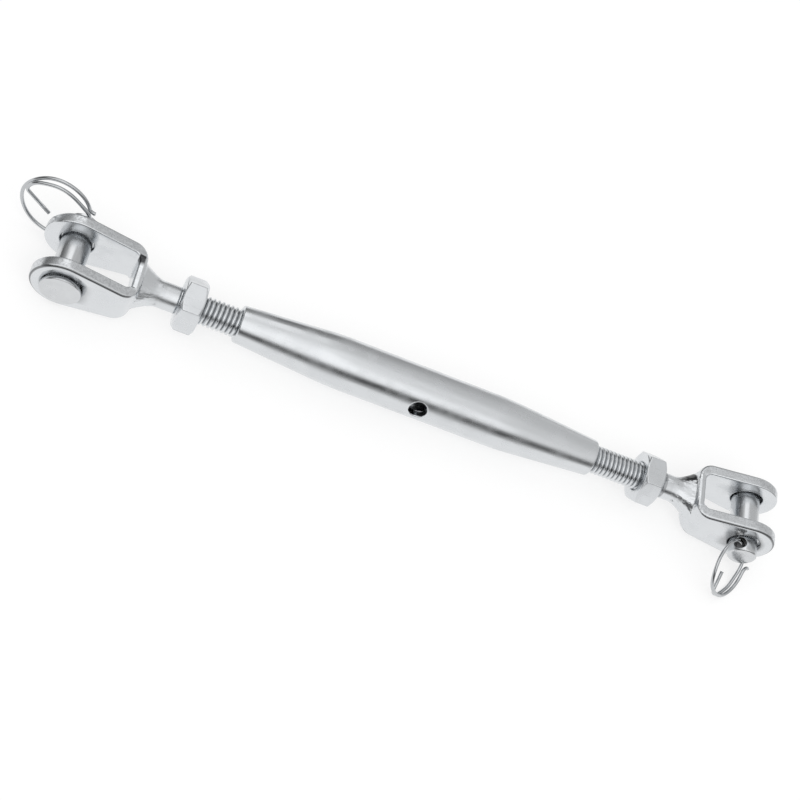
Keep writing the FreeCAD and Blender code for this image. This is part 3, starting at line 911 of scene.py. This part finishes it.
    def neck_height(self, u: np.ndarray, y: np.ndarray, tall: np.ndarray, u_cuts: np.ndarray) -> np.ndarray:
        """Height of the neck, a crowned cone.

        It is the lesser, softly joined, of the casting's section stretched up to
        h(u) and the dome h(u) * sqrt(1 - 0.9 (y / w(u))^2), where h falls from
        the bridge to the shank and w is the neck's own half width.

        Args:
            u: distances from the pin.
            y: sideways places.
            tall: the casting's heights |z|.
            u_cuts: planes across the screw, where the half width is read.

        Returns:
            The new heights.
        """
        stations = np.append(u_cuts[u_cuts > self.fork_end], self.neck_end)
        widths = np.array([np.abs(y[np.abs(u - s) < 0.03]).max(initial=self.shank_radius) for s in stations])
        half = np.interp(u, stations, widths)
        fall = np.clip((self.neck_end - u) / (self.neck_end - self.fork_end), 0.0, 1.0)
        top = self.shank_radius + self.neck_rise * fall ** self.neck_curve
        cast_u, cast_top = np.transpose(self.cast_tops)
        stretched = tall * top / np.interp(u, cast_u, cast_top)
        round_off = np.maximum(1.0 - self.dome_fall * (y / half) ** 2, self.dome_least)
        dome = self.dome_swell * top * np.sqrt(round_off)
        return (stretched ** -self.join_power + dome ** -self.join_power) ** (-1 / self.join_power)

    def shape_neck(self, mesh: bpy.types.Mesh, pin_x: float, way: int) -> None:
        """Give the neck a crowned cone and the bridge between the ears a full, proud top.

        The change from bridge to neck follows the fork's rounded outline, and
        the neck's new height fades out towards the shank, which keeps its
        thickness up to its thread.

        Args:
            mesh: the casting's mesh.
            pin_x: the pin's X.
            way: direction of +u along X.
        """
        u_cuts = self.cut_net(mesh, pin_x, way)
        points = np.empty(len(mesh.vertices) * 3)
        mesh.vertices.foreach_get("co", points)
        points = points.reshape(-1, 3) / MM
        u, y, z = way * (points[:, 0] - pin_x), points[:, 1], points[:, 2]
        centre = self.fork_half - self.fork_corner
        corner = np.hypot(np.maximum(np.abs(y) - centre, 0.0),
                          np.maximum(u - self.fork_end + self.fork_corner, 0.0)) - self.fork_corner
        behind = np.where(np.abs(y) > centre, corner, u - self.fork_end)
        fade = 1.0 - smooth_step((u - self.fade_start) / self.fade_length)
        share = smooth_step(behind / self.step_width) * fade
        tall = np.maximum(np.abs(z), self.least_height)
        bridge = self.bridge_height(u, y, tall)
        height = bridge + (self.neck_height(u, y, tall, u_cuts) - bridge) * share
        points[:, 2] = np.where(np.abs(z) < self.least_height, z, np.sign(z) * height)
        radius = np.hypot(points[:, 1], points[:, 2])
        plain = (u > self.neck_end + 0.1) & (u < self.thread_start - 0.04) & (radius > self.shank_radius)
        points[:, 1:] *= np.where(plain, self.shank_radius / np.maximum(radius, 0.1), 1.0)[:, None]
        mesh.vertices.foreach_set("co", (points * MM).ravel())
        mesh.update()

    def join(self, piece: bpy.types.Object, stud: bpy.types.Object, cut: float) -> None:
        """Add the stud to the casting and close the gap ring and the tip.

        Args:
            piece: the cut casting, which receives the stud.
            stud: the threaded stud, which is removed.
            cut: the cut plane's X in millimetres.
        """
        with mesh_edit(piece.data) as work:
            work.from_mesh(stud.data)
            open_edges = [e for e in work.edges if e.is_boundary]
            shoulder = [e for e in open_edges if abs(e.verts[0].co.x - cut * MM) < CAD_WELD]
            tip = [e for e in open_edges if abs(e.verts[0].co.x - cut * MM) >= CAD_WELD]
            bmesh.ops.triangle_fill(work, edges=shoulder, use_beauty=True)
            bmesh.ops.edgeloop_fill(work, edges=tip)
            bmesh.ops.recalc_face_normals(work, faces=work.faces)
        shade_smooth(piece.data)
        piece.data.set_sharp_from_angle(angle=math.radians(self.sharp_deg))
        mesh = stud.data
        bpy.data.objects.remove(stud)
        bpy.data.meshes.remove(mesh)


@dataclass
class LockNut:
    """A hexagon nut on the stud, its bore along X."""

    side: Side
    turned_deg: float
    flat_half: float = 6.7
    face_radius: float = 6.5
    chamfer_deg: float = 30.0
    bore_radius: float = 4.0
    mouth_chamfer: float = 0.5
    edge_round: float = 0.16
    corner_band: float = 2.2
    flat_band: float = 2.6
    columns: int = 240
    softness: float = 70.0

    def side_radius(self, turn: np.ndarray, inset: np.ndarray) -> np.ndarray:
        """Radius of the nut's side: the lesser of hexagon and chamfer cone, softly joined.

        Args:
            turn: angle from a corner, in radians.
            inset: distance in from the nearer end face.

        Returns:
            The radius for each pair.
        """
        sector = np.mod(turn, np.pi / 3) - np.pi / 6
        hexagon = self.flat_half / np.cos(sector)
        cone = self.face_radius + inset / math.tan(math.radians(self.chamfer_deg))
        power = -self.softness
        return (hexagon ** power + cone ** power) ** (1 / power)

    def build(self) -> bpy.types.Object:
        """The nut as one closed surface of (x, r(angle, x)) rows.

        The rows run along the side, over the rounded edge, across the end face
        and into the bore, then the same way back at the other end.
        """
        node = f"{self.side.word}_lock_nut"
        low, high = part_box(node)
        centre, half = (low.x + high.x) / 2 / MM, (high.x - low.x) / 2 / MM
        turn = 2 * np.pi * np.arange(self.columns) / self.columns
        e = self.edge_round
        band = half - e - self.corner_band * np.linspace(0, 1, 14) ** 1.3
        middle = half - self.flat_band
        side_x = np.concatenate([-band, np.linspace(-middle, middle, 5), band[::-1]])
        side_r = self.side_radius(turn[None], half - np.abs(side_x)[:, None])

        roll = (np.pi / 2 * np.arange(1, 5) / 4)[:, None]
        edge_r = self.side_radius(turn[None], np.array([[e]])) - e * (1 - np.cos(roll))
        share = np.array([[0.15], [0.5], [1.0]])
        face_r = edge_r[-1:] * (1 - share) + (self.bore_radius + self.mouth_chamfer) * share
        bore_r = np.full((1, self.columns), self.bore_radius)
        end_x = np.concatenate([(half - e + e * np.sin(roll))[:, 0], np.full(3, half),
                                [half - self.mouth_chamfer]])
        end_r = np.concatenate([edge_r, face_r, bore_r])

        all_x = np.concatenate([side_x, end_x, -end_x[::-1]])
        all_r = np.concatenate([side_r, end_r, end_r[::-1]])
        spun = turn + math.radians(self.turned_deg)
        points = np.stack([centre + all_x[:, None] + 0 * all_r, all_r * np.cos(spun), all_r * np.sin(spun)],
                          axis=-1).reshape(-1, 3)
        quads = grid_quads(len(all_x), self.columns, wrap_rows=True)
        piece = make_piece(f"{self.side.word}_nut", points * MM, quads)
        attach(piece, node)
        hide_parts(node)
        return piece


@dataclass
class ClevisPin:
    """A headed pin about Y with a cross hole near its free end."""

    side: Side
    hole_deg: float
    radius: float = 4.0
    drop: float = 0.47
    head_radius: float = 5.4
    head_thickness: float = 1.2
    head_round: float = 0.3
    skirt_round: float = 0.12
    under_head: float = 8.8
    tip: float = 12.7
    tip_chamfer: float = 0.35
    hole_at: float = 10.3
    hole_radius: float = 1.7
    hole_round: float = 0.12
    columns: int = 120
    window_columns: int = 11
    window_half: float = 2.0
    sharp_deg: float = 60.0

    def stations(self) -> tuple[np.ndarray, int]:
        """The outline (x, r) from the head's middle to the tip's, and the window's first row."""
        under, top = -self.under_head, -self.under_head - self.head_thickness
        roll = np.pi / 2 * np.arange(0, 7) / 6
        crown_x = top + self.head_round * (1 - np.sin(roll[::-1]))
        crown_r = self.head_radius - self.head_round * (1 - np.cos(roll[::-1]))
        head = np.array([[top, 0.0], [top, 2.0], [top, 4.5]])
        crown = np.stack([crown_x, crown_r], axis=1)
        skirt = np.array([[under - self.skirt_round, self.head_radius],
                          [under, self.head_radius - self.skirt_round],
                          [under, self.radius + 0.1], [under + 0.1, self.radius]])
        shank = np.stack([np.linspace(-8.0, 8.0, 9), np.full(9, self.radius)], axis=1)
        rows = np.linspace(self.hole_at - self.window_half, self.hole_at + self.window_half,
                           2 * self.window_columns + 1)
        window = np.stack([rows, np.full(len(rows), self.radius)], axis=1)
        end, last_radius = self.tip - self.tip_chamfer, self.radius - self.tip_chamfer
        tip = np.array([[end, self.radius], [end + 0.03, self.radius - 0.01],
                        [self.tip - 0.03, last_radius + 0.03], [self.tip, last_radius - 0.03],
                        [self.tip, 2.5], [self.tip, 1.2], [self.tip, 0.0]])
        first = len(head) + len(crown) + len(skirt) + len(shank)
        return np.concatenate([head, crown, skirt, shank, window, tip]), first

    def build(self) -> bpy.types.Object:
        """The pin as one closed surface."""
        node = f"{self.side.word}_clevis_pin"
        stations, first = self.stations()
        turned = CrossDrilled(
            stations=stations, closed=False, columns=self.columns, window_columns=self.window_columns,
            outer_row=first, inner_row=0, hole_x=self.hole_at, hole_radius=self.hole_radius,
            rim_round=self.hole_round, outer_radius=self.radius, inner_radius=0.0)
        a = math.radians(self.hole_deg)
        axis = np.array([0.0, float(self.side.inward), 0.0])
        out = np.array([math.cos(a), 0.0, math.sin(a)])
        origin = np.array([PIN_X[self.side], 0.0, -self.drop])
        piece = turned.build(f"{self.side.word}_pin", np.array([axis, out, np.cross(axis, out)]), origin)
        piece.data.set_sharp_from_angle(angle=math.radians(self.sharp_deg))
        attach(piece, node)
        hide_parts(node)
        return piece


@dataclass
class SplitRing:
    """The coiled wire ring, taken from the frame and shaded as drawn wire."""

    side: Side
    sharp_deg: float = 50.0

    def build(self) -> bpy.types.Object:
        """The ring with its triangles joined, so that the wire shades round."""
        node = f"{self.side.word}_split_ring"
        piece = merged_copy(node, f"{self.side.word}_ring")
        piece.data.set_sharp_from_angle(angle=math.radians(self.sharp_deg))
        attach(piece, node)
        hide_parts(node)
        return piece


# Floor, light and camera


@dataclass(frozen=True)
class SoftBox:
    """One rectangular lamp that faces the screw."""

    name: str
    azimuth_deg: float
    elevation_deg: float
    distance: float
    width: float
    height: float
    radiance: float

    def build(self) -> bpy.types.Object:
        """The lamp, with the power that gives its face the wanted radiance."""
        data = bpy.data.lights.new(self.name, "AREA")
        data.shape = "RECTANGLE"
        data.size = self.width
        data.size_y = self.height
        data.energy = self.radiance * math.pi * self.width * self.height
        az, el = math.radians(self.azimuth_deg), math.radians(self.elevation_deg)
        towards = Vector((math.cos(el) * math.cos(az), math.cos(el) * math.sin(az), math.sin(el)))
        lamp = linked(self.name, data)
        lamp.location = towards * self.distance
        lamp.rotation_euler = towards.to_track_quat("Z", "Y").to_euler()
        # the metal sees the lamp's face in the room's own curves instead
        lamp.visible_glossy = False
        return lamp


@dataclass(frozen=True)
class Room:
    """What the metal sees round the screw, as grey levels.

    The metal sees a large pale cloth over the near side with a dark gap below
    it, weaker towards the right, and a grey wall behind the table that is dark
    at the left and carries one pale lamp there. A wall is a curve of (degrees
    of elevation, level), and a turn is an azimuth in degrees. Of each pair of
    ends, the first is where a share is 0 and the second where it is 1.
    """

    top_level: float = 1.25
    plain_light: float = 0.80
    near_left: Curve = (
        (0, 0.40), (5, 0.26), (9, 0.10), (13, 0.04), (19, 0.05), (24, 0.18), (29, 0.56), (33, 1.00),
        (45, 1.18), (55, 1.21), (80, 1.18), (90, 1.12))
    near_right: Curve = (
        (0, 0.42), (5, 0.17), (10, 0.18), (16, 0.28), (22, 0.44), (28, 0.58), (36, 0.70), (48, 0.79),
        (60, 0.70), (70, 0.80), (80, 0.95), (90, 1.05))
    far_left: Curve = (
        (0, 0.10), (10, 0.15), (20, 0.25), (30, 0.35), (40, 0.45), (50, 0.53), (60, 0.60), (70, 0.70),
        (80, 0.92), (90, 1.05))
    far_right: Curve = (
        (0, 0.67), (13, 0.65), (26, 0.58), (40, 0.60), (60, 0.63), (70, 0.76), (80, 0.92), (90, 1.05))
    near_turn: Pair = (-70.0, -46.0)
    far_turn: Pair = (86.0, 66.0)
    lamp_turn_low: Pair = (82.0, 87.0)
    lamp_turn_high: Pair = (136.0, 127.0)
    lamp_rise_low: Pair = (34.0, 40.0)
    lamp_rise_high: Pair = (72.0, 66.0)
    far_side: Pair = (-0.22, 0.22)

    def build(self) -> None:
        """The world: the walls for glossy rays, and a plain white one for all others."""
        world = bpy.data.worlds.new("studio")
        bpy.context.scene.world = world
        world.use_nodes = True
        graph = Graph(world.node_tree)
        graph.tree.nodes.clear()
        x, y, z = graph.split(graph.add("TexCoord").outputs["Generated"])
        rise = graph.math("DIVIDE", graph.math("ARCSINE", z), math.pi / 2)
        rise_deg = graph.math("MULTIPLY", rise, 90.0)
        turn = graph.math("MULTIPLY", graph.math("ARCTAN2", y, x), 180 / math.pi)

        def wall(steps: Curve) -> Socket:
            """A grey level against elevation."""
            ramp = graph.add("ValToRGB", {"Fac": rise})
            for i, (deg, level) in enumerate(steps):
                at = deg / 90
                element = ramp.color_ramp.elements[i] if i < 2 else ramp.color_ramp.elements.new(at)
                element.position = at
                element.color = (*(level / self.top_level,) * 3, 1.0)
            return ramp.outputs["Color"]

        near = graph.blend(graph.step(turn, self.near_turn), wall(self.near_left), wall(self.near_right))
        far = graph.blend(graph.step(turn, self.far_turn), wall(self.far_left), wall(self.far_right))
        lamp = graph.math("MULTIPLY", graph.both(turn, self.lamp_turn_low, self.lamp_turn_high),
                          graph.both(rise_deg, self.lamp_rise_low, self.lamp_rise_high))
        far = graph.blend(lamp, far, (1.0, 1.0, 1.0, 1.0))
        seen = graph.add("Background", {"Color": graph.blend(graph.step(y, self.far_side), near, far),
                                        "Strength": self.top_level})
        path = graph.add("LightPath").outputs
        light = graph.math("MAXIMUM", path["Is Camera Ray"], self.plain_light)
        plain = graph.add("Background", {"Color": (1.0, 1.0, 1.0, 1.0), "Strength": light})
        choose = graph.add("MixShader", {"Fac": path["Is Glossy Ray"], 1: plain.outputs[0],
                                         2: seen.outputs[0]})
        graph.add("OutputWorld", {"Surface": choose.outputs[0]})


@dataclass(frozen=True)
class Table:
    """The plain white table top, which keeps the screw's shadow.

    The eye sees it less dark by a lift, so that the paper round the screw stays
    white, and the metal sees it evenly lit and dimmer away from the screw.
    """

    half: float = 4.0
    colour: float = 0.90
    colour_seen: float = 0.36
    lift: float = 0.66
    in_metal: float = 0.95
    far_in_metal: float = 0.40
    dim_ends: Pair = (0.055, 0.16)

    def build(self) -> bpy.types.Object:
        """The table top at the height of the screw's lowest point."""
        low, h = CAD_BOX[0][2], self.half
        mesh = bpy.data.meshes.new("table_top")
        mesh.from_pydata([(-h, -h, low), (h, -h, low), (h, h, low), (-h, h, low)], [], [(0, 1, 2, 3)])
        floor = linked("table_top", mesh)
        material = bpy.data.materials.new("white_table")
        material.use_nodes = True
        graph = Graph(material.node_tree)
        graph.tree.nodes.clear()
        path = graph.add("LightPath").outputs
        fade = graph.math("MULTIPLY", path["Is Camera Ray"], self.colour - self.colour_seen)
        matt = graph.add("BsdfDiffuse", {"Color": graph.math("SUBTRACT", self.colour, fade)})
        lift = graph.math("MULTIPLY", path["Is Camera Ray"], self.lift)
        glow = graph.add("Emission", {"Strength": lift})
        lifted = graph.add("AddShader", {0: matt.outputs[0], 1: glow.outputs[0]})
        _, y, _ = graph.split(graph.add("TexCoord").outputs["Object"])
        away = graph.step(graph.math("ABSOLUTE", y), self.dim_ends)
        dimmed = graph.math("MULTIPLY", away, self.in_metal - self.far_in_metal)
        mirrored = graph.add("Emission", {"Strength": graph.math("SUBTRACT", self.in_metal, dimmed)})
        choose = graph.add("MixShader", {"Fac": path["Is Glossy Ray"], 1: lifted.outputs[0],
                                         2: mirrored.outputs[0]})
        graph.add("OutputMaterial", {"Surface": choose.outputs[0]})
        mesh.materials.append(material)
        return floor


@dataclass(frozen=True)
class PhotoCamera:
    """The camera that took the photograph: its place in metres and its directions."""

    place: Triple = (-0.11227, -0.24418, 0.36001)
    ahead: Triple = (0.2411, 0.5380, -0.8078)
    right: Triple = (0.9076, 0.1698, 0.3840)
    focal_pixels: float = 1681.7
    image_pixels: float = 800.0
    sensor_width: float = 36.0

    def build(self) -> bpy.types.Object:
        """The camera, with its directions made square to each other."""
        back = -np.array(self.ahead)
        back /= np.linalg.norm(back)
        right = np.array(self.right)
        right -= back * (right @ back)
        right /= np.linalg.norm(right)
        data = bpy.data.cameras.new("photo_camera")
        data.sensor_fit = "HORIZONTAL"
        data.sensor_width = self.sensor_width
        data.lens = self.sensor_width * self.focal_pixels / self.image_pixels
        data.clip_start = 0.01
        camera = linked("photo_camera", data)
        turn = Matrix(np.stack([right, np.cross(back, right), back], axis=1).tolist()).to_4x4()
        camera.matrix_world = Matrix.Translation(Vector(self.place)) @ turn
        bpy.context.scene.camera = camera
        return camera


def main() -> None:
    """Build every piece, dress it, and set the stage."""
    logging.basicConfig(level=logging.INFO, format="%(message)s")
    bpy.context.scene.view_settings.view_transform = "Standard"
    groups = {"polish": build_polish_group(), "casting": build_casting_group(),
              "handling": build_handling_group(), "places": build_place_group()}
    materials = {finish.name: finish.build(groups) for finish in FINISHES}

    pieces = [
        (TaperedBarrel().build(), "barrel_steel"),
        (ThreadedFork(Side.LEFT, thread_start=28.9).build(), "jaw_steel"),
        (ThreadedFork(Side.RIGHT).build(), "jaw_steel"),
        (LockNut(Side.LEFT, 17.0).build(), "nut_steel"),
        (LockNut(Side.RIGHT, 9.0).build(), "nut_steel"),
        (ClevisPin(Side.LEFT, 70.6).build(), "pin_steel"),
        (ClevisPin(Side.RIGHT, 129.3).build(), "pin_steel"),
        (SplitRing(Side.LEFT).build(), "ring_wire"),
        (SplitRing(Side.RIGHT).build(), "ring_wire"),
    ]
    for piece, slot in pieces:
        piece.data.materials.clear()
        piece.data.materials.append(materials[slot])
        LOG.info("%s: %d faces, %s", piece.name, len(piece.data.polygons), slot)

    Table().build()
    Room().build()
    SoftBox("near_softbox", -94.0, 54.0, distance=1.2, width=1.7, height=0.90, radiance=1.15).build()
    PhotoCamera().build()


if __name__ == "__main__":
    main()
